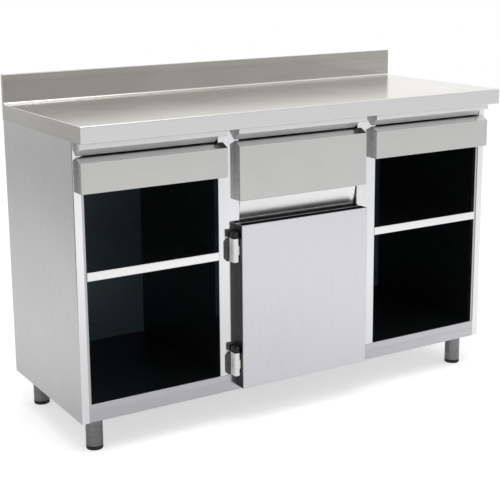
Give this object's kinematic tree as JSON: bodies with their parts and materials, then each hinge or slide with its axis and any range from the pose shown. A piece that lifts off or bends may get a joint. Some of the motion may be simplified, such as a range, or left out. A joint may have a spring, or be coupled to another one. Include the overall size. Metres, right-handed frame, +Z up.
{
  "type": "waiter service station",
  "caption": "Free-standing stainless steel service counter with splashback, open shelved bays, grip-rail drawers and a hinged cupboard door on levelling feet.",
  "frame": {"origin": "on the floor, under the middle of the worktop's length and depth", "axes": "+X along the counter towards the right-hand end seen from the front, +Y from the front towards the wall, +Z up"},
  "size_m": [1.5, 0.6, 1.064],
  "materials": {
    "worktop_steel": "fine satin-brushed stainless steel, grain along the length",
    "cabinet_steel": "satin stainless steel sheet",
    "front_steel": "satin-brushed stainless steel",
    "hinge_steel": "polished",
    "polished_steel": "polished stainless steel",
    "runner_steel": "zinc plated",
    "screw_steel": "bright stainless",
    "black_lining": "black semi-gloss coating",
    "core_board": "water-resistant board",
    "black_plastic": "moulded black plastic",
    "foot_plastic": "moulded black plastic",
    "sleeve_rubber": "matt rubber"
  },
  "bodies": {
    "cabinet": {"worktop": "worktop_steel", "worktop_board": "core_board", "worktop_stiffeners": "cabinet_steel", "left_side_panel": "cabinet_steel", "right_side_panel": "cabinet_steel", "left_stile": "cabinet_steel", "right_stile": "cabinet_steel", "back_panel": "cabinet_steel", "base_tray": "cabinet_steel", "top_channels": "cabinet_steel", "middle_rail": "cabinet_steel", "left_grip_rail": "cabinet_steel", "middle_grip_rail": "cabinet_steel", "right_grip_rail": "cabinet_steel", "left_lining": "black_lining", "middle_lining": "cabinet_steel", "right_lining": "black_lining", "left_drawer_rail": "cabinet_steel", "right_drawer_rail": "cabinet_steel", "left_shelf": "cabinet_steel", "right_shelf": "cabinet_steel", "shelf_brackets": "cabinet_steel", "left_cabinet_runners": "runner_steel", "middle_cabinet_runners": "runner_steel", "right_cabinet_runners": "runner_steel", "hinge_plates": "hinge_steel", "hinge_pins": "hinge_steel", "hinge_caps": "black_plastic", "door_catch": "black_plastic", "front_left_leg": "polished_steel", "front_right_leg": "polished_steel", "rear_left_leg": "polished_steel", "rear_right_leg": "polished_steel", "leg_plates": "cabinet_steel", "leg_screws": "screw_steel"},
    "left_drawer": {"left_drawer_front": "front_steel", "left_drawer_tray": "cabinet_steel", "left_drawer_runners": "runner_steel"},
    "left_runner_slides": {"left_middle_runners": "runner_steel"},
    "middle_drawer": {"middle_drawer_front": "front_steel", "middle_drawer_tray": "cabinet_steel", "middle_drawer_runners": "runner_steel", "grounds_bin": "polished_steel", "knock_bar": "polished_steel", "knock_bar_sleeve": "sleeve_rubber"},
    "middle_runner_slides": {"middle_middle_runners": "runner_steel"},
    "right_drawer": {"right_drawer_front": "front_steel", "right_drawer_tray": "cabinet_steel", "right_drawer_runners": "runner_steel"},
    "right_runner_slides": {"right_middle_runners": "runner_steel"},
    "door": {"door_outer_panel": "front_steel", "door_grip_channel": "black_plastic", "door_edge_strip": "black_plastic", "door_inner_panel": "cabinet_steel", "hinge_leaves": "hinge_steel", "door_strike": "cabinet_steel"},
    "front_left_foot_body": {"front_left_foot": "foot_plastic"},
    "front_right_foot_body": {"front_right_foot": "foot_plastic"},
    "rear_left_foot_body": {"rear_left_foot": "foot_plastic"},
    "rear_right_foot_body": {"rear_right_foot": "foot_plastic"}
  },
  "joints": [
    {"name": "left_drawer_slide", "type": "slide", "parent": "cabinet", "child": "left_drawer", "axis": [0, -1, 0], "range_m": [0, 0.4]},
    {"name": "left_runner_slide", "type": "slide", "parent": "cabinet", "child": "left_runner_slides", "axis": [0, -1, 0], "range_m": [0, 0.2]},
    {"name": "middle_drawer_slide", "type": "slide", "parent": "cabinet", "child": "middle_drawer", "axis": [0, -1, 0], "range_m": [0, 0.4]},
    {"name": "middle_runner_slide", "type": "slide", "parent": "cabinet", "child": "middle_runner_slides", "axis": [0, -1, 0], "range_m": [0, 0.2]},
    {"name": "right_drawer_slide", "type": "slide", "parent": "cabinet", "child": "right_drawer", "axis": [0, -1, 0], "range_m": [0, 0.4]},
    {"name": "right_runner_slide", "type": "slide", "parent": "cabinet", "child": "right_runner_slides", "axis": [0, -1, 0], "range_m": [0, 0.2]},
    {"name": "door_hinge", "type": "hinge", "parent": "cabinet", "child": "door", "pos_m": [-0.247, -0.255, 0.373], "axis": [0, 0, -1], "range_deg": [0, 110]},
    {"name": "front_left_foot_thread", "type": "slide", "parent": "cabinet", "child": "front_left_foot_body", "axis": [0, 0, -1], "range_m": [0, 0.03]},
    {"name": "front_right_foot_thread", "type": "slide", "parent": "cabinet", "child": "front_right_foot_body", "axis": [0, 0, -1], "range_m": [0, 0.03]},
    {"name": "rear_left_foot_thread", "type": "slide", "parent": "cabinet", "child": "rear_left_foot_body", "axis": [0, 0, -1], "range_m": [0, 0.03]},
    {"name": "rear_right_foot_thread", "type": "slide", "parent": "cabinet", "child": "rear_right_foot_body", "axis": [0, 0, -1], "range_m": [0, 0.03]}
  ],
  "couplings": [
    {"joint": "left_runner_slide", "follows": "left_drawer_slide", "ratio": 0.5},
    {"joint": "middle_runner_slide", "follows": "middle_drawer_slide", "ratio": 0.5},
    {"joint": "right_runner_slide", "follows": "right_drawer_slide", "ratio": 0.5}
  ]
}
